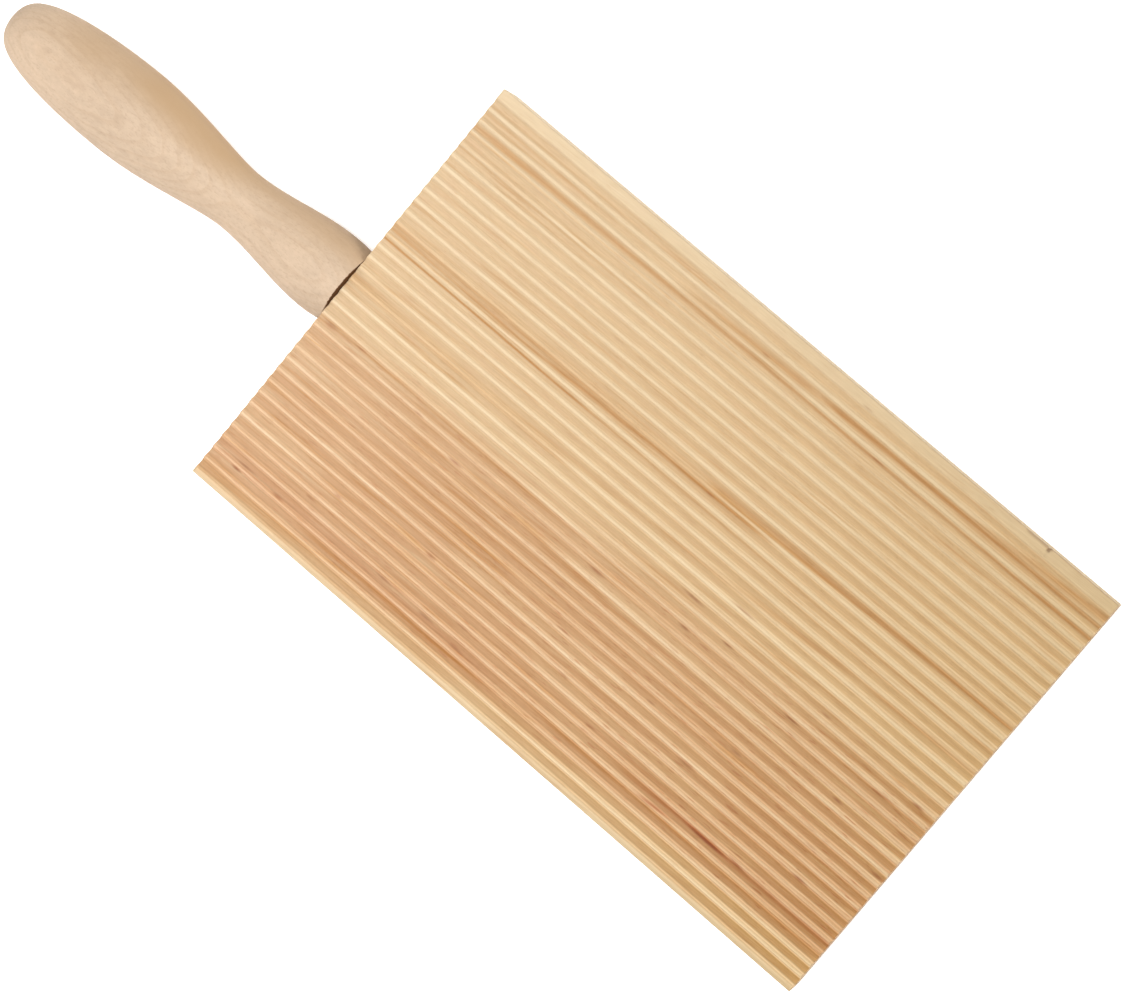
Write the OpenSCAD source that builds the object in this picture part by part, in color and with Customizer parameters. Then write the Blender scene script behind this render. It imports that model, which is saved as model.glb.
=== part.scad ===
// Gnocchi board: a ridged wooden board with a turned handle dowelled into one end.
// The origin is the middle of the flat underside. +X points along the ridges, away from the handle,
// +Y points to the long edge with the plain margin, and +Z points up, out of the ridges.

/* [Board] */
// Length of the board along its ridges
board_l = 200; // [120:1:300]
// Width of the board across its ridges
board_w = 125.2; // [60:0.1:200]
// Thickness of the board, from its underside to the ridge tops
board_t = 15; // [13:0.5:30]
// Bevel along the edges of the underside
edge_bevel = 0.6; // [0.2:0.1:2]

/* [Ridges] */
// Distance from one ridge top to the next
ridge_pitch = 3.68; // [2.5:0.01:8]
// Width of the flat land on each ridge top
ridge_land = 0.7; // [0.3:0.05:1.2]
// Depth of the round-bottomed grooves
groove_depth = 1.3; // [0.5:0.05:1.5]
// From the plain long edge to the middle of the first ridge top
margin_w = 2.5; // [1:0.1:10]

/* [Handle] */
// Length of the handle
handle_l = 113.5; // [90:0.5:160]
// Diameter of the collar, the thick part near the board
collar_d = 22.7; // [16:0.1:30]
// How much smaller the handle is across its end than across its collar
collar_drop = 1.4; // [0:0.1:3]
// From the board to the collar's thickest place
collar_at = 7; // [4:0.5:14]
// Diameter of the waist
waist_d = 16.6; // [14:0.1:22]
// From the board to the waist
waist_at = 37; // [26:0.5:50]
// Diameter of the belly that fills the palm
belly_d = 25.2; // [18:0.1:34]
// From the board to the belly's thickest place
belly_at = 75.5; // [60:0.5:85]
// How early the belly swells out of the waist, where 1 is an even swell
belly_swell = 0.78; // [0.6:0.01:1.2]
// How full the rounded end is, where 2 is an ellipse
end_fullness = 3.5; // [2:0.1:4]

/* [Joint] */
// How far the handle sits off the middle of the end, towards the plain margin if positive
handle_shift = -1.9; // [-10:0.1:10]
// Angle that the handle leans from the ridges, towards the plain margin if positive
handle_lean = -1.7; // [-4:0.1:4]
// Diameter of the dowel pin
dowel_d = 8; // [5:0.5:8]
// Length of the dowel pin
dowel_l = 50; // [30:1:60]
// Bevel at both ends of the dowel pin
dowel_bevel = 1; // [0.3:0.1:1.5]
// Number of glue flutes along the dowel pin
flute_count = 16; // [8:1:24]
// Width of one glue flute
flute_w = 0.8; // [0.4:0.1:0.8]
// Gap that the glue fills around the dowel pin
dowel_fit = 0.1; // [0.05:0.05:0.2]
// Room beyond each end of the dowel pin for spare glue
dowel_room = 1.5; // [0.5:0.5:4]
// Bevel at the mouth of each bore
mouth_bevel = 0.6; // [0.2:0.1:1]
// Glue line between the handle's shoulder and the end of the board
glue_line = 0.1; // [0.05:0.05:0.3]

/* [Hidden] */
$fn = 96;

groove_count = floor((board_w - margin_w) / ridge_pitch);
groove_w = ridge_pitch - ridge_land;
groove_r = (pow(groove_w / 2, 2) + pow(groove_depth, 2)) / (2 * groove_depth);
groove_rise = groove_r - groove_depth;

collar_r = collar_d / 2;
waist_r = waist_d / 2;
belly_r = belly_d / 2;
profile_step = 1.5;
end_steps = 20;
shoulder_spare = 2;

bore_r = dowel_d / 2 + dowel_fit;
bore_depth = dowel_l / 2 + dowel_room;
past = 1;

// Half a cosine wave, rising from 0 to 1
function ease(t) = (1 - cos(180 * t)) / 2;

// Radius of the handle at a distance from the board
function collar_radius(s) = collar_r - collar_drop / 2 * pow(1 - s / collar_at, 2);
function waist_radius(s) =
    collar_r + (waist_r - collar_r) * ease((s - collar_at) / (waist_at - collar_at));
function belly_radius(s) =
    waist_r + (belly_r - waist_r) * ease(pow((s - waist_at) / (belly_at - waist_at), belly_swell));
function end_radius(u) = belly_r * pow(max(0, 1 - u * u), 1 / end_fullness);

// Outline of the handle, as points of distance from the board against radius
function stretch(from, to) = [for (i = [0 : ceil((to - from) / profile_step) - 1])
    from + (to - from) * i / ceil((to - from) / profile_step)];
handle_outline = concat(
    [[-shoulder_spare, collar_radius(0)]],
    [for (s = stretch(0, collar_at)) [s, collar_radius(s)]],
    [for (s = stretch(collar_at, waist_at)) [s, waist_radius(s)]],
    [for (s = stretch(waist_at, belly_at)) [s, belly_radius(s)]],
    [for (i = [0 : end_steps]) let (u = sin(90 * i / end_steps))
        [belly_at + (handle_l - belly_at) * u, end_radius(u)]]
);

// Moves what is drawn along +Z from 0 onto the handle's axis, with +Z pointing out of the board
module on_handle_axis() {
    translate([-board_l / 2, handle_shift, board_t / 2])
        rotate([0, 0, -handle_lean])
            rotate([0, -90, 0])
                children();
}

// A round bore along +Z from 0, with a bevelled mouth
module dowel_bore() {
    translate([0, 0, -past])
        cylinder(h = bore_depth + past, r = bore_r);
    translate([0, 0, -past])
        cylinder(h = past + mouth_bevel, r1 = bore_r + mouth_bevel + past, r2 = bore_r);
}

// Cross-section of the board, with width along X and height along Y
module board_section() {
    difference() {
        polygon([
            [-board_w / 2, board_t],
            [-board_w / 2, edge_bevel],
            [-board_w / 2 + edge_bevel, 0],
            [board_w / 2 - edge_bevel, 0],
            [board_w / 2, edge_bevel],
            [board_w / 2, board_t]
        ]);
        for (i = [0 : groove_count - 1])
            translate([board_w / 2 - margin_w - (i + 0.5) * ridge_pitch, board_t + groove_rise])
                circle(r = groove_r);
    }
}

// Side view of the plain board, with length along X and height along Y
module board_side() {
    polygon([
        [-board_l / 2, board_t],
        [-board_l / 2, edge_bevel],
        [-board_l / 2 + edge_bevel, 0],
        [board_l / 2 - edge_bevel, 0],
        [board_l / 2, edge_bevel],
        [board_l / 2, board_t]
    ]);
}

// The board, grooved from end to end, with the bore for the dowel pin in one end
module ridged_board() {
    color("burlywood")
        difference() {
            intersection() {
                translate([-board_l / 2, 0, 0])
                    rotate([90, 0, 90])
                        linear_extrude(height = board_l)
                            board_section();
                translate([0, board_w / 2, 0])
                    rotate([90, 0, 0])
                        linear_extrude(height = board_w)
                            board_side();
            }
            on_handle_axis()
                mirror([0, 0, 1])
                    dowel_bore();
        }
}

// The handle, turned in one piece, with its shoulder cut to lie flat against the board
module turned_handle() {
    color("tan")
        difference() {
            on_handle_axis()
                rotate_extrude()
                    polygon(concat(
                        [[0, -shoulder_spare]],
                        [for (p = handle_outline) [p[1], p[0]]]
                    ));
            translate([-board_l / 2 - glue_line, handle_shift - collar_d, board_t / 2 - collar_d])
                cube([shoulder_spare * 2, collar_d * 2, collar_d * 2]);
            on_handle_axis()
                translate([0, 0, glue_line])
                    dowel_bore();
        }
}

// The hidden dowel pin, with straight flutes for the glue and bevelled ends
module dowel_pin() {
    color("wheat")
        on_handle_axis()
            translate([0, 0, -dowel_l / 2])
                intersection() {
                    linear_extrude(height = dowel_l)
                        difference() {
                            circle(d = dowel_d);
                            for (i = [0 : flute_count - 1])
                                rotate(360 / flute_count * i)
                                    translate([dowel_d / 2, 0])
                                        circle(d = flute_w, $fn = 24);
                        }
                    rotate_extrude()
                        polygon([
                            [0, 0],
                            [dowel_d / 2 - dowel_bevel, 0],
                            [dowel_d / 2 + dowel_fit, dowel_bevel + dowel_fit],
                            [dowel_d / 2 + dowel_fit, dowel_l - dowel_bevel - dowel_fit],
                            [dowel_d / 2 - dowel_bevel, dowel_l],
                            [0, dowel_l]
                        ]);
                }
}

ridged_board();
turned_handle();
dowel_pin();
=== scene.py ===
import math

import bmesh
import bpy
from bpy.props import FloatProperty, FloatVectorProperty, IntProperty, PointerProperty
from mathutils import Euler, Matrix, Vector, noise


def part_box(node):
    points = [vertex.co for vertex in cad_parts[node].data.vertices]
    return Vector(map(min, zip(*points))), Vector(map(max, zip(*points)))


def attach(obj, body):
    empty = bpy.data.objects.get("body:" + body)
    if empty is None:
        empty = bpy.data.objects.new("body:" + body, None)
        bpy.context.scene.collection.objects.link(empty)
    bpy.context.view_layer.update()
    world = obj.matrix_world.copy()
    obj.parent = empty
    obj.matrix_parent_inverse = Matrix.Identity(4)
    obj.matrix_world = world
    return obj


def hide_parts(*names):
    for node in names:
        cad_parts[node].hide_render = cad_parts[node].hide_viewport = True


bl_info = {
    "name": "Gnocchi board",
    "version": (1, 0, 0),
    "blender": (4, 5, 0),
    "location": "3D View > Sidebar > Gnocchi board",
    "description": "Dresses a ridged gnocchi board and its turned handle, and sets the stage",
    "category": "Object",
}

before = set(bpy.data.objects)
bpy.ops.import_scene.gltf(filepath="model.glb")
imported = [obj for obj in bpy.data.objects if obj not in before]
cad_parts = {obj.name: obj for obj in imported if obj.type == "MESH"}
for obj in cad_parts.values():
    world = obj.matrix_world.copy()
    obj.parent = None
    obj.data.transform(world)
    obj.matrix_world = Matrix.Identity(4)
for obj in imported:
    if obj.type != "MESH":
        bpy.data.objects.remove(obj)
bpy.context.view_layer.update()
BOARD_LOW, BOARD_HIGH = (Vector(corner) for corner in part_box("ridged_board"))
HANDLE_LOW, HANDLE_HIGH = (Vector(corner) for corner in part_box("turned_handle"))
BOARD = BOARD_HIGH - BOARD_LOW
MM = 0.001
QUARTER = math.pi / 2
# Growth lines are drawn this much wider and stronger than they are listed
LINE_GAIN = 1.35

# Growth lines in the board's wood, in mm: from and to along the board, distance from the plain edge at both
# ends of the board, how far the line fades towards the plain edge and away from it, and its strength
BROWN_LINES = (
    (-20, 108, 12.2, 9.7, 1.2, 0.8, 0.42),
    (60, 118, 12.2, 4.7, 1.2, 1.5, 0.36),
    (105, 230, 9.0, 7.4, 1.3, 0.7, 0.58),
    (150, 230, 17.1, 4.3, 0.8, 3.0, 0.42),
    (62, 230, 11.1, 11.2, 0.6, 0.6, 0.46),
    (172, 230, 11.5, 11.1, 1.2, 0.6, 0.50),
    (148, 182, 5.2, 13.1, 0.5, 0.5, 0.22),
    (-20, 100, 13.9, 12.7, 0.5, 0.5, 0.26),
    (115, 152, 16.2, 12.2, 0.5, 0.5, 0.28),
    (-20, 70, 18.3, 17.8, 0.5, 0.4, 0.22),
    (-20, 35, 17.0, 16.6, 1.0, 0.8, 0.20),
    (-20, 55, 5.3, 4.6, 0.5, 0.5, 0.18),
    (-20, 38, 7.7, 7.2, 0.5, 0.5, 0.18),
    (-20, 62, 45.3, 46.2, 0.6, 0.5, 0.40),
    (45, 130, 46.6, 41.8, 1.1, 0.7, 0.58),
    (-20, 120, 43.9, 42.6, 2.0, 1.8, 0.34),
    (-20, 30, 46.4, 46.2, 0.6, 0.6, 0.25),
    (95, 230, 45.3, 40.2, 2.0, 0.6, 0.50),
    (-20, 75, 48.2, 48.1, 0.4, 0.4, 0.60),
    (60, 230, 48.1, 48.1, 0.35, 0.35, 0.22),
    (-20, 80, 61.4, 62.4, 1.8, 1.3, 0.32),
    (55, 100, 60.6, 59.2, 0.8, 0.8, 0.16),
    (92, 170, 65.1, 53.1, 1.0, 0.9, 0.28),
    (160, 230, 60.0, 54.2, 1.1, 0.9, 0.40),
    (15, 82, 73.0, 73.6, 1.3, 1.2, 0.18),
    (8, 82, 73.7, 73.8, 0.4, 0.4, 0.34),
    (85, 115, 73.3, 73.9, 0.4, 0.4, 0.30),
    (25, 100, 118.2, 117.2, 1.1, 0.9, 0.36),
    (70, 93, 117.6, 117.7, 0.9, 0.8, 0.48),
    (60, 130, 119.4, 118.6, 1.0, 1.2, 0.20),
    (104, 230, 115.6, 113.4, 1.0, 0.8, 0.38),
    (-20, 50, 121.5, 121.0, 1.5, 3.0, 0.26),
    (-20, 90, 122.8, 121.0, 3.0, 3.5, 0.20),
)
RED_LINES = (
    (132, 230, 111.5, 110.4, 1.2, 0.8, 0.30),
    (146, 173, 110.9, 110.6, 1.0, 0.6, 0.74),
    (137, 152, 119.9, 109.9, 0.5, 0.5, 0.50),
    (-20, 100, 115.5, 115.5, 3.5, 3.0, 0.14),
)
PALE_LINES = (
    (-20, 118, 67.6, 66.6, 3.5, 3.2, 0.05),
    (18, 118, 66.3, 66.3, 0.6, 0.6, 0.34),
    (12, 108, 70.0, 70.0, 0.6, 0.6, 0.34),
    (95, 230, 66.8, 58.0, 2.2, 2.2, 0.40),
    (128, 205, 58.9, 58.5, 0.5, 0.5, 0.40),
    (92, 230, 80.9, 80.8, 0.4, 0.4, 0.45),
    (-20, 230, 26.0, 20.5, 4.0, 3.0, 0.15),
    (80, 165, 79.8, 78.3, 2.0, 2.0, 0.34),
    (60, 160, 97.6, 96.2, 3.0, 3.0, 0.24),
    (90, 165, 104.6, 103.8, 2.5, 2.5, 0.28),
    (-20, 30, 104.5, 104.5, 3.0, 3.0, 0.24),
    (-20, 20, 86.0, 86.0, 5.0, 5.0, 0.14),
    (105, 138, 112.2, 112.2, 1.6, 1.6, 0.24),
)
# Short dark flecks, in mm: along the board, from the plain edge, half length, half width, and strength
FLECKS = (
    (94, 8.9, 2.5, 0.5, 0.4), (132, 11.1, 4, 0.5, 0.5), (122, 2.6, 3, 0.5, 0.4),
    (112, 24.5, 2.5, 0.4, 0.4), (63, 29.6, 4, 0.5, 0.3), (115, 34.5, 3.5, 0.6, 0.3),
    (105.5, 44.2, 2.5, 0.5, 0.5), (131, 60.7, 6.5, 0.5, 0.5), (4, 74, 3.5, 1.5, 0.45),
    (14, 73.6, 3, 0.5, 0.5), (36, 76.4, 2.5, 0.5, 0.5), (51, 79.7, 3.8, 0.55, 0.65),
    (119, 66.6, 5.5, 0.7, 0.55), (133, 69.9, 3, 0.6, 0.6), (163, 67.3, 3, 0.5, 0.5),
    (194.5, 69.7, 3, 0.7, 0.7), (122, 73.7, 3, 0.6, 0.6), (157, 73.6, 4, 0.6, 0.65),
    (185, 73.6, 4, 0.6, 0.6), (96, 77.4, 4.5, 0.9, 0.55), (178.5, 81.6, 2.5, 0.7, 0.6),
    (91, 85.8, 4, 0.5, 0.4), (152, 89.1, 3, 0.6, 0.45), (198, 89.4, 3.5, 0.7, 0.6),
    (99.5, 94, 4, 0.4, 0.5), (127.5, 93.5, 2.5, 0.5, 0.45), (181, 94.3, 3.5, 0.5, 0.4),
    (61.4, 101.8, 3, 0.7, 0.6), (106.5, 102.6, 3, 0.8, 0.5), (144, 99.3, 5, 1.0, 0.5),
    (184, 102.4, 3.8, 1.0, 0.7), (33.6, 105.7, 2.5, 0.6, 0.5), (97, 105.2, 6, 0.4, 0.35),
    (120, 108, 3, 0.6, 0.45), (79, 110.1, 4, 0.7, 0.5), (28, 110.8, 3, 0.6, 0.45),
    (170, 110.1, 4, 0.6, 0.7), (10, 115.7, 5, 0.6, 0.5), (21.4, 116, 3, 0.6, 0.55),
    (8.5, 117.5, 2.5, 0.8, 0.75), (160.5, 110.8, 8, 0.7, 0.8), (55.6, 114, 4, 0.7, 0.5),
    (70, 114.4, 4.5, 0.6, 0.5), (81, 115.4, 4, 0.6, 0.45),
)
# Square lamps: name, place, what they shine on, power in watts, and width, with lengths in metres
LAMPS = (
    ("lamp_above", (0, 0, 1.2), (0, 0, 0), 16.0, 0.5),
    ("lamp_margin_side", (0.544, 0.942, 0.507), (0, 0, 0), 5.0, 0.25),
    ("lamp_margin_end", (1.004, 0.580, 0.311), (0, 0, 0), 4.3, 0.25),
    ("lamp_far_side", (0, -1.088, 0.507), (0, 0, 0), 5.1, 0.3),
    ("lamp_handle_side", (-0.3, -0.5, 0.5), (-0.1, 0, 0), 0.7, 0.3),
    ("lamp_handle_end", (-0.62, 0.12, 0.24), (-0.2, 0, 0.01), 0.35, 0.2),
)


class BoardSettings(bpy.types.PropertyGroup):
    """Sizes and colours of the ridged board"""

    pitch: FloatProperty(
        name="Ridge pitch", description="From one ridge top to the next", default=3.68 * MM, unit="LENGTH")
    land: FloatProperty(
        name="Ridge land", description="Width of a ridge top, before its edges are rounded",
        default=0.7 * MM, unit="LENGTH")
    depth: FloatProperty(
        name="Groove depth", description="From a ridge top to the groove's bottom", default=1.3 * MM,
        unit="LENGTH")
    shallow: FloatProperty(
        name="Shallowest groove",
        description="Depth of the groove by the plain edge, where sanding took more",
        default=0.88 * MM, unit="LENGTH")
    margin: FloatProperty(
        name="Margin", description="From the plain long edge to the middle of the first ridge top",
        default=2.5 * MM, unit="LENGTH")
    bevel: FloatProperty(
        name="Bevel", description="Bevel along the edges of the underside", default=0.6 * MM, unit="LENGTH")
    ease: FloatProperty(
        name="Eased edge", description="Radius of the sanded upper edges", default=0.28 * MM, unit="LENGTH")
    end_ease: FloatProperty(
        name="Eased ridge end", description="Radius of the sanded ends of the ridges by the plain edge",
        default=0.3 * MM, unit="LENGTH")
    end_ease_far: FloatProperty(
        name="Eased far ridge end", description="Radius of the sanded ends of the ridges by the far edge",
        default=0.7 * MM, unit="LENGTH")
    round: FloatProperty(
        name="Ridge rounding", description="Radius of the sanded edges of a ridge top by the far edge",
        default=0.26 * MM, unit="LENGTH")
    rounder: FloatProperty(
        name="Roundest ridge", description="Radius of the sanded edges of a ridge top by the plain edge",
        default=0.44 * MM, unit="LENGTH")
    bore: FloatProperty(
        name="Bore", description="Diameter of the bores for the dowel pin, in the board and the handle",
        default=8.2 * MM, unit="LENGTH")
    bore_depth: FloatProperty(
        name="Bore depth", description="Depth of each bore for the dowel pin", default=26.5 * MM,
        unit="LENGTH")
    chip_start: FloatProperty(
        name="Chip start", description="From the handle's end to the start of the bruise on the plain edge",
        default=171 * MM, unit="LENGTH")
    chip_stop: FloatProperty(
        name="Chip stop", description="From the handle's end to the end of the bruise on the plain edge",
        default=179 * MM, unit="LENGTH")
    bruise: FloatProperty(
        name="Bruise", description="How far the bruise has drawn in the plain edge", default=0.2 * MM,
        unit="LENGTH")
    nick: FloatProperty(
        name="Nick", description="How far the nick near the bruise's end goes in", default=0.45 * MM,
        unit="LENGTH")
    seed: IntProperty(name="Seed", description="Chooses the wear on the ridges", default=7)
    pale: FloatVectorProperty(
        name="Pale wood", description="Colour of the sapwood", default=(0.612, 0.470, 0.300),
        subtype="COLOR")
    heart: FloatVectorProperty(
        name="Heartwood", description="Colour of the pinkish heart", default=(0.545, 0.358, 0.212),
        subtype="COLOR")
    brown: FloatVectorProperty(
        name="Brown line", description="Colour of a growth line in the pale wood",
        default=(0.43, 0.205, 0.05), subtype="COLOR")
    red: FloatVectorProperty(
        name="Red line", description="Colour of a growth line or a fleck in the heart",
        default=(0.36, 0.112, 0.042), subtype="COLOR")
    cream: FloatVectorProperty(
        name="Cream line", description="Colour of the palest growth lines", default=(0.665, 0.535, 0.362),
        subtype="COLOR")
    blush: FloatVectorProperty(
        name="Blush", description="Colour of the pink clouds", default=(0.585, 0.375, 0.25),
        subtype="COLOR")
    fleck: FloatVectorProperty(
        name="Fleck", description="Colour of the dark flecks", default=(0.27, 0.10, 0.05), subtype="COLOR")
    # Painted shade: the colour that greys the plain edge and darkens its bruise and nick
    edge_shade_colour: FloatVectorProperty(
        name="Shade", description="Colour of the shaded plain edge and its chip",
        default=(0.19, 0.115, 0.06), subtype="COLOR")
    # The sawn ends' colour: darker end grain, partly the wood's own and partly painted shade
    end_grain_and_shade: FloatVectorProperty(
        name="End grain", description="Colour of the sawn ends", default=(0.27, 0.165, 0.08),
        subtype="COLOR")
    heart_start: FloatProperty(
        name="Heart start", description="From the plain edge to the heart, at the handle's end",
        default=73 * MM, unit="LENGTH")
    heart_stop: FloatProperty(
        name="Heart stop", description="From the plain edge to where the heart ends, at the handle's end",
        default=125 * MM, unit="LENGTH")


class HandleSettings(bpy.types.PropertyGroup):
    """Sizes and colours of the turned handle"""

    length: FloatProperty(
        name="Length", description="Length of the handle", default=113.5 * MM, unit="LENGTH")
    collar: FloatProperty(
        name="Collar", description="Diameter of the collar", default=22.7 * MM, unit="LENGTH")
    collar_drop: FloatProperty(
        name="Collar drop", description="How much smaller the end is than the collar", default=1.4 * MM,
        unit="LENGTH")
    collar_at: FloatProperty(
        name="Collar place", description="From the board to the collar's thickest place",
        default=7 * MM, unit="LENGTH")
    waist: FloatProperty(
        name="Waist", description="Diameter of the waist", default=16.6 * MM, unit="LENGTH")
    waist_at: FloatProperty(
        name="Waist place", description="From the board to the waist", default=37 * MM, unit="LENGTH")
    belly: FloatProperty(
        name="Belly", description="Diameter of the belly", default=25.2 * MM, unit="LENGTH")
    belly_at: FloatProperty(
        name="Belly place", description="From the board to the belly's thickest place",
        default=75.5 * MM, unit="LENGTH")
    swell: FloatProperty(name="Swell", description="How early the belly swells", default=0.78)
    fullness: FloatProperty(name="Fullness", description="How full the rounded end is", default=3.5)
    lean: FloatProperty(
        name="Lean", description="Angle between the handle and the ridges", default=math.radians(-1.7),
        subtype="ANGLE")
    shift: FloatProperty(
        name="Shift", description="From the middle of the end to the handle's middle", default=-1.9 * MM,
        unit="LENGTH")
    bore_bevel: FloatProperty(
        name="Bore bevel", description="Bevel at the mouth of the bore", default=0.6 * MM, unit="LENGTH")
    rim: FloatProperty(
        name="Rim", description="Radius of the sanded edge of the shoulder", default=0.3 * MM,
        unit="LENGTH")
    wood: FloatVectorProperty(
        name="Beech", description="Colour of the handle's wood", default=(0.535, 0.402, 0.287),
        subtype="COLOR")
    ring: FloatVectorProperty(
        name="Growth ring", description="Colour of the growth rings", default=(0.47, 0.335, 0.225),
        subtype="COLOR")
    # Painted shade on the handle's side that faces the plain edge's way
    shaded_side: FloatVectorProperty(
        name="Shaded wood", description="Colour of the side that light has missed",
        default=(0.42, 0.28, 0.158), subtype="COLOR")
    shoulder_dark: FloatVectorProperty(
        name="Darkened end", description="Colour of the shoulder's dark end grain",
        default=(0.085, 0.03, 0.006), subtype="COLOR")


class StageSettings(bpy.types.PropertyGroup):
    """The camera's lens and place, the light and the floor"""

    lens_mm: FloatProperty(name="Lens", description="Focal length, in mm on a 36 mm sensor", default=128.2)
    place: FloatVectorProperty(
        name="Camera place", description="Where the camera is", default=(0.12307, 0.10169, 0.99725),
        subtype="XYZ", unit="LENGTH")
    aim: FloatVectorProperty(
        name="Aim", description="What the camera looks at", default=(-0.02254, -0.00626, 0.015),
        subtype="XYZ", unit="LENGTH")
    roll: FloatProperty(
        name="Roll", description="Turn of the camera about its view line", default=math.radians(39.73),
        subtype="ANGLE")
    sky: FloatProperty(name="Sky", description="Strength of the even light all round", default=0.07)
    floor: FloatVectorProperty(
        name="Floor", description="Colour of the floor", default=(0.92, 0.92, 0.92), subtype="COLOR")
    glow: FloatProperty(name="Floor glow", description="How much the floor lights itself", default=0.45)


class Wire:
    """A node socket that takes part in Python sums"""

    def __init__(self, sheet, socket):
        self.sheet = sheet
        self.socket = socket

    def maths(self, operation, first, second=None):
        """A new Math node on one or two wires or numbers"""
        values = {0: first} if second is None else {0: first, 1: second}
        return self.sheet.node("ShaderNodeMath", {"operation": operation}, values)

    def __add__(self, other):
        return self.maths("ADD", self, other)

    __radd__ = __add__

    def __sub__(self, other):
        return self.maths("SUBTRACT", self, other)

    def __rsub__(self, other):
        return self.maths("SUBTRACT", other, self)

    def __mul__(self, other):
        return self.maths("MULTIPLY", self, other)

    __rmul__ = __mul__

    def __truediv__(self, other):
        return self.maths("DIVIDE", self, other)

    def __abs__(self):
        return self.maths("ABSOLUTE", self)

    def most(self, other):
        return self.maths("MAXIMUM", self, other)

    def least(self, other):
        return self.maths("MINIMUM", self, other)


class Sheet:
    """The node tree of one material, with its principled shader"""

    def __init__(self, name):
        self.material = bpy.data.materials.new(name)
        self.material.use_nodes = True
        self.tree = self.material.node_tree
        self.shader = self.tree.nodes["Principled BSDF"]

    def node(self, kind, settings=None, sockets=None, out=0):
        """A new node with its settings, then the values or links of its sockets"""
        made = self.tree.nodes.new(kind)
        for key, value in (settings or {}).items():
            setattr(made, key, value)
        for key, value in (sockets or {}).items():
            self.feed(made.inputs[key], value)
        return Wire(self, made.outputs[out])

    def feed(self, socket, value):
        if isinstance(value, Wire):
            self.tree.links.new(value.socket, socket)
        elif hasattr(value, "__len__") and len(value) == 3 and len(socket.default_value) == 4:
            socket.default_value = (*value, 1)
        else:
            socket.default_value = value

    def shade(self, **sockets):
        """Feeds the shader's sockets, named with underscores for spaces"""
        for key, value in sockets.items():
            self.feed(self.shader.inputs[key.replace("_", " ")], value)

    def finish(self, colour, rough, height, strength, distance, gloss):
        """Feeds the shader a colour, a roughness and a bump of that strength and distance"""
        bump = self.node(
            "ShaderNodeBump", {}, {"Strength": strength, "Distance": distance, "Height": height})
        self.shade(Base_Color=colour, Roughness=rough, Normal=bump, Specular_IOR_Level=gloss)

    def mix(self, factor, first, second, blend="MIX"):
        """One colour mixed into another, on the sockets that the Mix node has for colours"""
        return self.node(
            "ShaderNodeMix", {"data_type": "RGBA", "blend_type": blend}, {0: factor, 6: first, 7: second},
            out=2)

    def split(self, vector):
        made = self.node("ShaderNodeSeparateXYZ", {}, {0: vector})
        return tuple(Wire(self, socket) for socket in made.socket.node.outputs)

    def join(self, x, y, z):
        return self.node("ShaderNodeCombineXYZ", {}, {0: x, 1: y, 2: z})

    def fade(self, value, low, high):
        """From 0 where value is low to 1 where it is high"""
        return self.node(
            "ShaderNodeMapRange", {"interpolation_type": "SMOOTHSTEP"},
            {"Value": value, "From Min": low, "From Max": high})

    def noise(self, point, sizes, detail=2.0, rough=0.5):
        """Noise about 0.5 with features of the given sizes, in mm, on a point in mm"""
        scaled = self.node(
            "ShaderNodeVectorMath", {"operation": "DIVIDE"}, {0: point, 1: sizes})
        return self.node(
            "ShaderNodeTexNoise", {},
            {"Vector": scaled, "Scale": 1.0, "Detail": detail, "Roughness": rough})

    def lines(self, end, side, lines):
        """How strongly growth lines show, at a place along the board and across it, both in mm"""
        total = None
        for start, stop, near, far, before, after, strength in lines:
            middle = end * ((far - near) / (BOARD.x / MM)) + near
            off = side - middle
            length = min(14, (stop - start) * 0.45)
            band = self.fade(off, -before * LINE_GAIN, 0) * self.fade(off, after * LINE_GAIN, 0)
            shown = self.fade(end, start, start + length) * self.fade(end, stop, stop - length)
            line = band * shown * min(1, strength * LINE_GAIN)
            total = line if total is None else total.most(line)
        return total

    def flecks(self, point, flecks):
        """How strongly short flecks show at a point given along the board and across it, in mm"""
        nearest = None
        for along, side, length, width, strength in flecks:
            middle = (-along / length, -side / width, 1 - strength)
            off = self.node(
                "ShaderNodeVectorMath", {"operation": "MULTIPLY_ADD"},
                {0: point, 1: (1 / length, 1 / width, 0), 2: middle})
            distance = self.node("ShaderNodeVectorMath", {"operation": "LENGTH"}, {0: off}, "Value")
            nearest = distance if nearest is None else nearest.least(distance)
        return self.fade(nearest, 1, 0)


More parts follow.
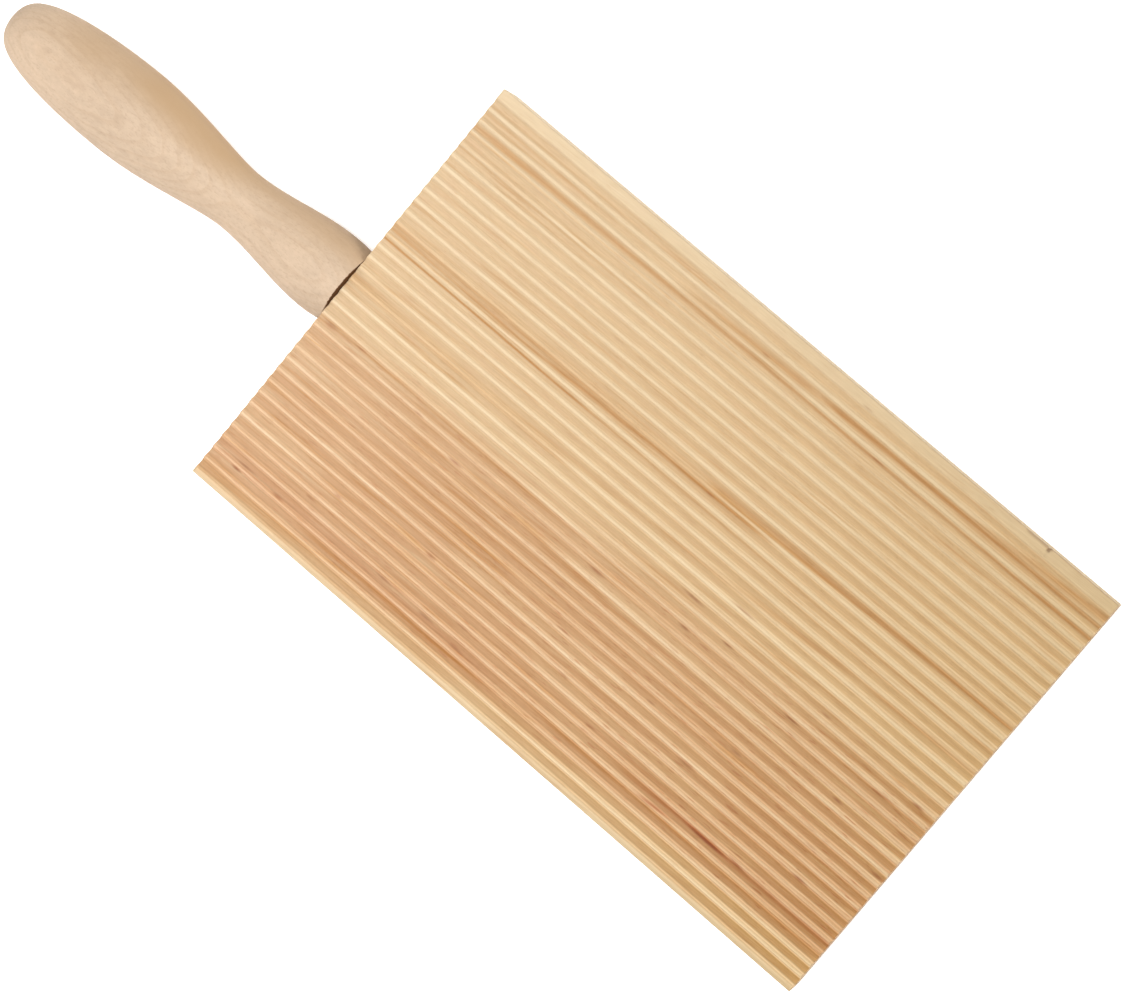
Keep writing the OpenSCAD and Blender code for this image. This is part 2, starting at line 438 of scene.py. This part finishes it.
def grown_wood(sheet, board, place, side):
    """The plank's colour before it was grooved, with its fine grain, fibres and open pores"""
    end, edge, down = sheet.split(place)
    drift = side + end * (edge * 0.0002 + 0.014)
    grain = sheet.join(end, drift, down)
    broad = sheet.noise(grain, (120, 6, 18))
    medium = sheet.noise(grain, (45, 1.5, 5))
    fine = sheet.noise(grain, (16, 0.55, 1.4), 2.0, 0.6)
    fibre = sheet.noise(grain, (6, 0.2, 0.35), 2.0, 0.6)

    # The heart starts softly, and both its sides drift towards the plain edge
    start, stop = board.heart_start / MM, board.heart_stop / MM
    inside = (side + end * 0.027 + (medium - 0.5) * 6 - start) / (end * 0.034 + 3.4)
    before = sheet.fade(side + end * 0.036 + (medium - 0.5) * 4, stop, stop - 4.5)
    heart = sheet.fade(inside, -1, 1) * before
    paler = sheet.fade(side, start + 21, start + 5) * 0.14
    colour = sheet.mix(heart * (1.0 - paler), tuple(board.pale), tuple(board.heart))
    blush = sheet.fade(sheet.noise(place, (9, 2.0, 9), 1.0), 0.52, 0.72) * (0.16 - end * 0.0007)
    colour = sheet.mix(blush, colour, tuple(board.blush))

    # Streaks of darker late wood and of paler wood, stronger in the heart
    streak = ((broad - 0.5) * 0.5 + (medium - 0.5) * 0.65 + (fine - 0.5) * 0.55) * (heart * 0.3 + 0.9)
    colour = sheet.mix(sheet.fade(streak, 0.0, 0.38) * 0.66, colour, tuple(board.brown))
    colour = sheet.mix(sheet.fade(streak, 0.0, -0.38) * 0.7, colour, tuple(board.cream))

    # Growth lines, broken up a little along the grain, and flecks
    thread = sheet.fade(fine * 0.6 + medium * 0.4, 0.32, 0.56) * 0.35 + 0.65
    colour = sheet.mix(sheet.lines(end, side, PALE_LINES), colour, tuple(board.cream))
    colour = sheet.mix(sheet.lines(end, side, BROWN_LINES) * thread, colour, tuple(board.brown))
    colour = sheet.mix(sheet.lines(end, side, RED_LINES) * thread, colour, tuple(board.red))
    flecks = sheet.flecks(sheet.join(end, side, 0), FLECKS)
    colour = sheet.mix(flecks * 0.95, colour, tuple(board.fleck))

    # Short dashes along the grain, most of them in the heart, and open pores
    dashes = sheet.fade(sheet.noise(grain, (4.5, 0.5, 0.9), 1.0), 0.62, 0.74)
    colour = sheet.mix(dashes * (heart * (end * 0.0014 + 0.14) + 0.07), colour, tuple(board.red))
    pores = sheet.fade(sheet.noise(grain, (3.2, 0.16, 0.16), 1.0), 0.66, 0.74)
    pores = pores * sheet.fade(sheet.noise(grain, (30, 3, 8), 1.0), 0.40, 0.62)
    colour = sheet.mix(pores * 0.30, colour, tuple(board.brown))
    return colour, fine, fibre, pores


def painted_ridge_shading(sheet, board, place, across, fibre):
    """What painted light and shade, with the fibres' own streaks, multiply the wood's colour by

    The ridge tops are painted paler near the handle, a painted highlight. The grooves get painted shade,
    warmer and darker, most of all on the walls that face away from the plain edge, and the far end is
    painted a little darker and yellower where the light falls off.
    """
    end, edge, down = sheet.split(place)
    width, margin = BOARD.y / MM, board.margin / MM
    # The painted light and shade change evenly along the board, from 0 to 1, and across it, from -0.3 to
    # 0.95
    far = end / (BOARD.x / MM)
    wide = edge * 0.01 - 0.3

    # How low a point lies in its groove, from 0 to 1, and 0 also on the sides and the underside
    within = sheet.fade(down, board.depth / MM + 0.5, board.depth / MM + 0.1)
    within = within * sheet.fade(edge, 0.05, 0.3) * sheet.fade(edge, width - 0.05, width - 0.3)
    low = down / (edge * ((board.depth - board.shallow) / BOARD.y) + board.shallow / MM) * within
    # The ridge tops, the groove's bottom, and the walls that face towards the plain edge and away from it
    top = sheet.fade(low, 0.6, 0.12)
    deep = sheet.fade(low, 0.55, 0.88)
    lit = sheet.fade(across, 0.25, 0.65)
    hidden = sheet.fade(across, -0.25, -0.65)

    # Painted shade along the margin by the plain edge and along the far long edge
    margin_shade = sheet.fade(edge, margin + 0.5, margin - 0.3) * (far * 0.02 + 0.03)
    margin_shade = margin_shade + sheet.fade(edge, width - 2.6, width - 0.6) * 0.09
    margin_shade = margin_shade + sheet.fade(edge, width - 1.4, width - 0.4) * 0.10
    shade = (fibre - 0.5) * 0.28 + wide * 0.27 - far * 0.10 + 1.172 - margin_shade
    # Painted shade in the grooves and on their walls, and a painted tone on the ridge tops
    groove = far * 0.04 - 0.12 - deep * (far * (edge * 0.0007 + 0.11) + edge * 0.0023 + 0.085)
    groove = groove + lit * (far * 0.09 - wide * 0.09 - 0.13) + hidden * (far * 0.08 - wide * 0.05 - 0.15)
    crest = far * -0.09 - wide * 0.14 - 0.18
    shade = shade + sheet.node("ShaderNodeMix", {}, {0: top, 2: groove, 3: crest})
    # The painted shade in the grooves is warmer, least on the walls that face the plain edge towards the
    # far end
    shadow_warmth = sheet.fade(low, 0.25, 0.85) * (far * (edge * 0.0055 + 0.02) + 0.5) * (1.0 - lit * far * 0.8)
    return sheet.join(
        shade - far * 0.06 + shadow_warmth * 0.02,
        shade - far * 0.10 - shadow_warmth * 0.08,
        shade - far * 0.20 - shadow_warmth * 0.18)


def painted_edge_shade(sheet, board, place):
    """Where painted shade greys the plain edge, more towards the far end, and darkens its bruise and nick
    """
    end, edge, down = sheet.split(place)
    start, stop = board.chip_start / MM, board.chip_stop / MM
    greyed = sheet.fade(edge, 0.3, 0.0) * (end / (BOARD.x / MM) * 0.25 + 0.12)
    bruise = sheet.fade(end, start - 0.5, start + 1) * sheet.fade(end, stop + 0.6, stop - 0.1)
    nick = sheet.fade(end, stop - 1.5, stop - 1) * sheet.fade(end, stop, stop - 0.4)
    shaded_marks = (bruise * sheet.fade(edge, 0.9, 0.3) * 0.5).most(nick * sheet.fade(edge, 1.5, 0.9) * 0.85)
    return greyed.most(shaded_marks) * sheet.fade(down, 1.5, 0.5)


def board_wood(board):
    """Straight-grained plank, with a pinkish heart and dark growth lines that drift across it"""
    sheet = Sheet("board_wood")
    x, y, z = sheet.split(sheet.node("ShaderNodeTexCoord", out="Object"))
    facing, across, _ = sheet.split(sheet.node("ShaderNodeNewGeometry", out="Normal"))

    # A place in mm from the handle's end, from the plain edge and below the ridge tops. The growth layers
    # lean through the thickness and waver a little: side is where the layer at a place meets the face
    end = x / MM + BOARD.x / 2 / MM
    edge = BOARD.y / 2 / MM - y / MM
    down = BOARD.z / MM - z / MM
    place = sheet.join(end, edge, down)
    waver = sheet.noise(place, (60, 18, 40), 1.0) * 0.6 + sheet.noise(place, (16, 4, 9), 1.0) * 0.25 - 0.425
    side = edge + down * 0.1 + waver

    colour, fine, fibre, pores = grown_wood(sheet, board, place, side)
    # Painted light and shade of the ridges and grooves, multiplied into the wood's colour
    colour = sheet.mix(1.0, colour, painted_ridge_shading(sheet, board, place, across, fibre), "MULTIPLY")
    # Painted shade on the plain edge and in its bruise and nick
    colour = sheet.mix(painted_edge_shade(sheet, board, place), colour, tuple(board.edge_shade_colour))
    # Sawn ends darker: partly end grain, partly painted shade
    colour = sheet.mix(sheet.fade(abs(facing), 0.6, 0.95) * 0.7, colour, tuple(board.end_grain_and_shade))

    rough = 0.62 - (fine - 0.5) * 0.2 + pores * 0.15
    sheet.finish(colour, rough, fibre * 0.5 + fine * 0.3 - pores * 0.8, 0.35, 0.12 * MM, 0.2)
    return sheet.material


def beech(name, handle, dark_shoulder):
    """Pale beech, with growth layers nearly level, fine rays and pores along the grain"""
    sheet = Sheet(name)
    spot = sheet.node("ShaderNodeTexCoord", out="Object")
    facing, aside, _ = sheet.split(sheet.node("ShaderNodeNewGeometry", out="Normal"))
    turned = sheet.node(
        "ShaderNodeMapping", {"vector_type": "TEXTURE"},
        {"Vector": spot, "Location": (BOARD_LOW.x, handle.shift, BOARD.z / 2),
         "Rotation": (0, 0, -handle.lean)})
    x, y, z = sheet.split(turned)
    along, over, up = x / -MM, y / MM, z / MM
    place = sheet.join(along, over, up)
    waver = sheet.noise(place, (60, 14, 14)) * 3.0 + sheet.noise(place, (9, 4, 4), 1.0) * 0.7
    layer = up * 0.98 + along * 0.1 - over * 0.16 + waver
    grain = sheet.join(along, over + waver, layer)

    # Growth layers, each darker towards its late side, in clouds of darker and paler wood
    thickness = 1.35
    phase = layer / thickness + sheet.noise(place, (90, 30, 5), 1.0) * 1.6
    saw = sheet.node("ShaderNodeMath", {"operation": "FRACT"}, {0: phase})
    late = sheet.fade(saw, 0.45, 0.95) * sheet.fade(saw, 1.0, 0.95)
    clouds = sheet.noise(place, (26, 8, 8))
    tint = late * 0.46 + (clouds - 0.5) * 0.9
    colour = sheet.mix(sheet.fade(tint, -0.25, 0.85) * 0.62, tuple(handle.wood), tuple(handle.ring))
    rays = sheet.fade(sheet.noise(grain, (0.9, 0.3, 0.9), 1.0), 0.56, 0.68)
    colour = sheet.mix(rays * 0.28, colour, tuple(c * 0.8 for c in handle.ring))

    # Fibres, curly figure and mottle, with the tip paler and the middle and the collar's end darker
    fibre = sheet.noise(grain, (6, 0.22, 0.22), 2.0, 0.6)
    curl = sheet.noise(sheet.join(along, over, layer), (2.6, 1.1, 0.8), 2.0, 0.6)
    mottle = sheet.noise(place, (3.5, 2.0, 2.0), 3.0, 0.65)
    shade = (fibre - 0.5) * 0.10 + (curl - 0.5) * 0.18 + (mottle - 0.5) * 0.22 + 0.99
    shade = shade + sheet.fade(along, 85, 105) * 0.05 - sheet.fade(abs(along - 62), 34, 8) * 0.06
    shade = shade - sheet.fade(along, 14, 4) * 0.06
    colour = sheet.mix(1.0, colour, sheet.join(shade, shade, shade), "MULTIPLY")

    # Painted shade: the side facing the plain edge's way is tinted darker and warmer, most in the middle
    # and least at the tip
    tan = sheet.fade(along, 112, 88) * 0.52 + sheet.fade(abs(along - 56), 30, 8) * 0.4 + 0.15
    tan = sheet.fade(aside + (clouds - 0.5) * 0.7, -0.05, 0.9) * tan
    colour = sheet.mix(tan, colour, tuple(handle.shaded_side))

    # The shoulder's end face is darkened where it shows above the board, with a ragged edge
    if dark_shoulder:
        darkened_face = sheet.fade(facing, 0.5, 0.9) * sheet.fade(along + (clouds - 0.5), 0.55, 0.2)
        torn = sheet.noise(place, (1.0, 0.8, 0.5), 1.0)
        rim = (handle.collar - handle.collar_drop) / 2 / MM
        middle = over * over + up * up + (torn - 0.5) * 26.0
        darkened_face = darkened_face * sheet.fade(middle, rim * rim - 1.4, rim * rim - 7.4)
        colour = sheet.mix(darkened_face, colour, tuple(handle.shoulder_dark))

    rough = 0.68 + (fibre - 0.5) * 0.15 + rays * 0.1
    sheet.finish(colour, rough, fibre * 0.4 - rays * 0.5, 0.25, 0.08 * MM, 0.15)
    return sheet.material


def plain(name, colour, roughness, glow):
    """An even colour that also lights itself a little"""
    sheet = Sheet(name)
    sheet.shade(Base_Color=colour, Roughness=roughness, Emission_Color=colour, Emission_Strength=glow)
    return sheet.material


def arc(centre, radius, start, stop, steps):
    """Points on an arc, both ends included"""
    return [
        (centre[0] + radius * math.cos(start + (stop - start) * i / steps),
         centre[1] + radius * math.sin(start + (stop - start) * i / steps))
        for i in range(steps + 1)
    ]


def board_outline(board):
    """Cross-section as distances from the plain edge and below the ridge tops, from the plain edge round

    The grooves keep one radius and get shallower towards the plain edge, where the ridge tops are rounder.
    The last four points are those of the underside.
    """
    ease = board.ease
    half_groove = (board.pitch - board.land) / 2
    radius = (half_groove ** 2 + board.depth ** 2) / (2 * board.depth)
    count = math.floor((BOARD.y - board.margin) / board.pitch)
    points = arc((ease, ease), ease, math.pi, math.pi + QUARTER, 3)
    for i in range(count):
        middle = board.margin + (i + 0.5) * board.pitch
        share = i / (count - 1)
        rise = radius - board.shallow - (board.depth - board.shallow) * share
        land_round = board.rounder + (board.round - board.rounder) * share
        reach = math.sqrt((radius + land_round) ** 2 - (land_round + rise) ** 2)
        slope = math.atan2(land_round + rise, reach)
        points += arc((middle - reach, land_round), land_round, -QUARTER, -slope, 3)
        points += arc((middle, -rise), radius, math.pi - slope, slope, 11)[1:-1]
        points += arc((middle + reach, land_round), land_round, math.pi + slope, math.pi + QUARTER, 3)
    points += arc((BOARD.y - ease, ease), ease, -QUARTER, 0, 3)
    points += [
        (BOARD.y, BOARD.z - board.bevel), (BOARD.y - board.bevel, BOARD.z),
        (board.bevel, BOARD.z), (0, BOARD.z - board.bevel)]
    return points


def stations(board):
    """Distances along the board at which its section is drawn, closer together at the ends and the chip"""
    eased_steps = (0, 0.15, 0.4, 1, 1.8, 2.9)
    chip_steps = 22
    widest, closest = 2.0 * MM, 0.03 * MM
    near = [board.ease * step for step in eased_steps] + [board.bevel, 2 * board.bevel]
    places = set(near) | {BOARD.x - step for step in near}
    count = round(BOARD.x / widest)
    places |= {BOARD.x * i / count for i in range(1, count)}
    chip = board.chip_stop - board.chip_start
    places |= {board.chip_start + chip * i / chip_steps for i in range(chip_steps + 1)}
    kept = []
    for place in sorted(places):
        if not kept or place - kept[-1] > closest:
            kept.append(place)
    return kept


def eased(distance, radius):
    """How far a surface has drawn in, at a distance from an edge of that radius"""
    if distance >= radius:
        return 0
    return radius - math.sqrt(radius ** 2 - (radius - distance) ** 2)


def wear(board, along, side, below):
    """How far wear has lowered a point of the ridged face, most of all on the ridge tops"""
    broad = noise.noise(Vector((along / (9 * MM), side / (2.2 * MM), board.seed)))
    fine = noise.noise(Vector((along / (2.6 * MM), side / (1.1 * MM), board.seed + 9))) * 0.018 * MM
    sanded = (broad * 0.5 + 0.5) * 0.07 * MM
    return (sanded + fine) if below < 0.3 * MM else fine


def chipped(board, along, side, below):
    """How far the bruised stretch of the plain edge has drawn in at a point"""
    share = (along - board.chip_start) / (board.chip_stop - board.chip_start)
    if not 0 < share < 1:
        return 0
    # The bruise deepens over its first fifth and fades over its last sixth, with the nick near its end
    ragged = 0.75 + 0.5 * noise.noise(Vector((along / (0.7 * MM), 3.1, 5.2)))
    bruise = board.bruise * min(1, share * 5, (1 - share) * 6) * ragged
    nick_at, nick_reach = board.chip_stop - 0.9 * MM, 0.55 * MM
    nick = board.nick * max(0, 1 - abs(along - nick_at) / nick_reach)
    return max(0, bruise + nick - (side + below) * 0.5)


def make_board(board):
    """The section drawn at every station, with its ends eased, its ridges worn and its edge chipped"""
    outline = board_outline(board)
    underside = len(outline) - 4
    mesh = bmesh.new()
    rings = []
    for along in stations(board):
        near_end = min(along, BOARD.x - along)
        squeeze = 1 - 2 * eased(near_end, board.ease) / BOARD.y
        bevelled = max(0, board.bevel - near_end)
        ring = []
        for i, (side, below) in enumerate(outline):
            gone = 0
            if i < underside:
                end_ease = board.end_ease + (board.end_ease_far - board.end_ease) * side / BOARD.y
                below = max(below + wear(board, along, side, below), eased(near_end, end_ease))
                # A chip moves a point as far in as down
                gone = chipped(board, along, *outline[i]) * 0.7
            else:
                below -= bevelled
            across = (BOARD.y / 2 - side - gone) * squeeze
            ring.append(mesh.verts.new((BOARD_LOW.x + along, across, BOARD_HIGH.z - below - gone)))
        rings.append(ring)
    for one, two in zip(rings, rings[1:]):
        for i in range(len(one)):
            j = (i + 1) % len(one)
            mesh.faces.new((one[i], one[j], two[j], two[i])).smooth = True
    mesh.faces.new(rings[0][::-1])
    mesh.faces.new(rings[-1])
    bmesh.ops.recalc_face_normals(mesh, faces=mesh.faces)
    return finished("board", mesh)


def finished(name, mesh):
    """An object made from a mesh in the making, with its real edges sharp"""
    data = bpy.data.meshes.new(name)
    mesh.to_mesh(data)
    mesh.free()
    data.set_sharp_from_angle(angle=math.radians(38))
    piece = bpy.data.objects.new(name, data)
    bpy.context.collection.objects.link(piece)
    return piece


def bored(piece, board, handle):
    """Cuts the bore for the dowel pin into the board, on the handle's axis"""
    cutter = bmesh.new()
    past, radius, depth = 1 * MM, board.bore / 2, board.bore_depth
    bmesh.ops.create_cone(
        cutter, cap_ends=True, segments=64, radius1=radius, radius2=radius, depth=depth + past)
    turn = Euler((0, QUARTER, 0)).to_matrix().to_4x4()
    lean = Matrix.Rotation(-handle.lean, 4, "Z")
    place = Matrix.Translation((BOARD_LOW.x, handle.shift, BOARD.z / 2))
    cutter.transform(place @ lean @ turn @ Matrix.Translation((0, 0, (depth - past) / 2)))
    tool = finished("bore_cutter", cutter)
    cut = piece.modifiers.new("bore", "BOOLEAN")
    cut.operation = "DIFFERENCE"
    cut.solver = "EXACT"
    cut.object = tool
    graph = bpy.context.evaluated_depsgraph_get()
    whole = bpy.data.meshes.new_from_object(piece.evaluated_get(graph))
    piece.modifiers.clear()
    piece.data = whole
    bpy.data.objects.remove(tool)


def level_shading(piece):
    """Keeps flat faces flat beside their rounded edges"""
    shading = piece.modifiers.new("level_shading", "WEIGHTED_NORMAL")
    shading.keep_sharp = True
    shading.weight = 90


def half_wave(share):
    """Half a cosine wave, rising from 0 to 1"""
    return (1 - math.cos(math.pi * share)) / 2


def handle_radius(handle, s):
    """Radius of the handle at a distance from the board"""
    collar, waist, belly = handle.collar / 2, handle.waist / 2, handle.belly / 2
    if s < handle.collar_at:
        return collar - handle.collar_drop / 2 * (1 - s / handle.collar_at) ** 2
    if s < handle.waist_at:
        share = (s - handle.collar_at) / (handle.waist_at - handle.collar_at)
        return collar + (waist - collar) * half_wave(share)
    if s < handle.belly_at:
        share = (s - handle.waist_at) / (handle.belly_at - handle.waist_at)
        return waist + (belly - waist) * half_wave(share ** handle.swell)
    share = (s - handle.belly_at) / (handle.length - handle.belly_at)
    return belly * max(0, 1 - share ** 2) ** (1 / handle.fullness)


def handle_rings(board, handle):
    """Rings from the bore's bottom, out over the shoulder and along to the tip, as distance and radius"""
    glue = BOARD_LOW.x - HANDLE_HIGH.x
    bore, mouth, rim = board.bore / 2, handle.bore_bevel, handle.rim
    body_steps, tip_steps = 74, 34
    shoulder = handle_radius(handle, 0)
    rings = [(glue + board.bore_depth, bore), (glue + mouth, bore), (glue, bore + mouth)]
    rings += [(glue, (bore + mouth + shoulder) / 2)]
    rings += [(glue + rim + y, shoulder - rim + x) for x, y in arc((0, 0), rim, -QUARTER, 0, 4)]
    body = [handle.belly_at * i / body_steps for i in range(1, body_steps)]
    tip = handle.length - handle.belly_at
    body += [handle.belly_at + tip * math.sin(QUARTER * i / tip_steps) for i in range(tip_steps)]
    return rings + [(s, handle_radius(handle, s)) for s in body]


def make_handle(board, handle):
    """Rings about the handle's axis, slightly uneven as hand sanding leaves them"""
    turn = Matrix.Rotation(-handle.lean, 4, "Z")
    place = Matrix.Translation((BOARD_LOW.x, handle.shift, BOARD.z / 2)) @ turn
    # The shoulder is cut flat against the board, which the handle meets at a slight lean, and this is how
    # far along the handle that shows
    reach = 5 * MM
    around = 96
    mesh = bmesh.new()
    rings = []
    for i, (s, radius) in enumerate(handle_rings(board, handle)):
        ring = []
        for k in range(around):
            angle = 2 * math.pi * k / around
            hand = Vector((math.cos(angle) * 1.4, math.sin(angle) * 1.4, s / (18 * MM)))
            uneven = noise.noise(hand) * 0.05 * MM if s > reach else 0
            over, up = (radius + uneven) * math.cos(angle), (radius + uneven) * math.sin(angle)
            level = max(0, 1 - s / reach) if i > 1 else 0
            tilt = over * math.tan(handle.lean) * level
            ring.append(mesh.verts.new(place @ Vector((-s - tilt, over, up))))
        rings.append(ring)
    for one, two in zip(rings, rings[1:]):
        for k in range(around):
            j = (k + 1) % around
            mesh.faces.new((one[k], one[j], two[j], two[k])).smooth = True
    mesh.faces.new(rings[0])
    tip = mesh.verts.new(place @ Vector((-handle.length, 0, 0)))
    for k in range(around):
        mesh.faces.new((rings[-1][k], rings[-1][(k + 1) % around], tip)).smooth = True
    bmesh.ops.recalc_face_normals(mesh, faces=mesh.faces)
    return finished("handle", mesh)


class MakeBoard(bpy.types.Operator):
    """Make the ridged board, with its bore and its wood"""

    bl_idname = "gnocchi.make_board"
    bl_label = "Make the board"

    def execute(self, context):
        board, handle = context.scene.gnocchi_board, context.scene.gnocchi_handle
        piece = make_board(board)
        bored(piece, board, handle)
        level_shading(piece)
        piece.data.materials.clear()
        piece.data.materials.append(board_wood(board))
        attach(piece, "root")
        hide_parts("ridged_board")
        return {"FINISHED"}


class MakeHandle(bpy.types.Operator):
    """Make the turned handle and give it its wood"""

    bl_idname = "gnocchi.make_handle"
    bl_label = "Make the handle"

    def execute(self, context):
        board, handle = context.scene.gnocchi_board, context.scene.gnocchi_handle
        piece = make_handle(board, handle)
        piece.data.materials.append(beech("handle_wood", handle, True))
        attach(piece, "root")
        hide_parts("turned_handle")
        return {"FINISHED"}


class DressPin(bpy.types.Operator):
    """Give the dowel pin, hidden in its bores, its wood"""

    bl_idname = "gnocchi.dress_pin"
    bl_label = "Dress the dowel pin"

    def execute(self, context):
        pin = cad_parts["dowel_pin"]
        pin.data.materials.clear()
        pin.data.materials.append(beech("dowel_wood", context.scene.gnocchi_handle, False))
        return {"FINISHED"}


class SetStage(bpy.types.Operator):
    """Lay the floor, and set the lights and the camera"""

    bl_idname = "gnocchi.set_stage"
    bl_label = "Set the stage"

    def execute(self, context):
        stage = context.scene.gnocchi_stage
        context.scene.view_settings.view_transform = "Standard"
        self.floor(context.scene, stage)
        self.lights(context.scene, stage)
        self.camera(context.scene, stage)
        return {"FINISHED"}

    def floor(self, scene, stage):
        """The part rests on the handle's belly and the far edge of the underside"""
        handle = scene.gnocchi_handle
        belly = BOARD_LOW.x - handle.belly_at
        tilt = math.atan2(-HANDLE_LOW.z, BOARD_HIGH.x - belly)
        bpy.ops.mesh.primitive_plane_add(size=8, location=(belly, 0, HANDLE_LOW.z))
        floor = bpy.context.object
        floor.name = "floor"
        floor.rotation_euler = (0, -tilt, 0)
        floor.data.materials.append(plain("floor_white", tuple(stage.floor), 0.9, stage.glow))

    def lights(self, scene, stage):
        world = scene.world or bpy.data.worlds.new("studio")
        scene.world = world
        world.use_nodes = True
        sky = world.node_tree.nodes["Background"]
        sky.inputs["Color"].default_value = (1, 1, 1, 1)
        sky.inputs["Strength"].default_value = stage.sky
        for name, place, aim, power, size in LAMPS:
            data = bpy.data.lights.new(name, "AREA")
            data.energy = power
            data.size = size
            lamp = bpy.data.objects.new(name, data)
            lamp.location = place
            lamp.rotation_euler = (Vector(aim) - Vector(place)).to_track_quat("-Z", "Y").to_euler()
            bpy.context.collection.objects.link(lamp)

    def camera(self, scene, stage):
        """Looks down on the board almost from overhead, turned so that the handle is at the upper left"""
        data = bpy.data.cameras.new("camera")
        data.lens = stage.lens_mm
        data.sensor_width = 36
        data.sensor_fit = "HORIZONTAL"
        back = (Vector(stage.place) - Vector(stage.aim)).normalized()
        right = Vector((0, 1, 0)).cross(back).normalized()
        up = back.cross(right)
        turn = Matrix((right, up, back)).transposed().to_4x4() @ Matrix.Rotation(stage.roll, 4, "Z")
        camera = bpy.data.objects.new("camera", data)
        camera.matrix_world = Matrix.Translation(Vector(stage.place)) @ turn
        bpy.context.collection.objects.link(camera)
        scene.camera = camera


class GnocchiPanel(bpy.types.Panel):
    """Lists what makes each piece and the stage"""

    bl_idname = "VIEW3D_PT_gnocchi_board"
    bl_label = "Gnocchi board"
    bl_space_type = "VIEW_3D"
    bl_region_type = "UI"
    bl_category = "Gnocchi board"

    def draw(self, context):
        for operator in (MakeBoard, MakeHandle, DressPin, SetStage):
            self.layout.operator(operator.bl_idname)


CLASSES = (
    BoardSettings, HandleSettings, StageSettings, MakeBoard, MakeHandle, DressPin, SetStage, GnocchiPanel)


def register():
    for cls in CLASSES:
        bpy.utils.register_class(cls)
    bpy.types.Scene.gnocchi_board = PointerProperty(type=BoardSettings)
    bpy.types.Scene.gnocchi_handle = PointerProperty(type=HandleSettings)
    bpy.types.Scene.gnocchi_stage = PointerProperty(type=StageSettings)


def unregister():
    del bpy.types.Scene.gnocchi_stage
    del bpy.types.Scene.gnocchi_handle
    del bpy.types.Scene.gnocchi_board
    for cls in reversed(CLASSES):
        bpy.utils.unregister_class(cls)


def main():
    register()
    bpy.ops.gnocchi.make_board()
    bpy.ops.gnocchi.make_handle()
    bpy.ops.gnocchi.dress_pin()
    bpy.ops.gnocchi.set_stage()


if __name__ == "__main__":
    main()
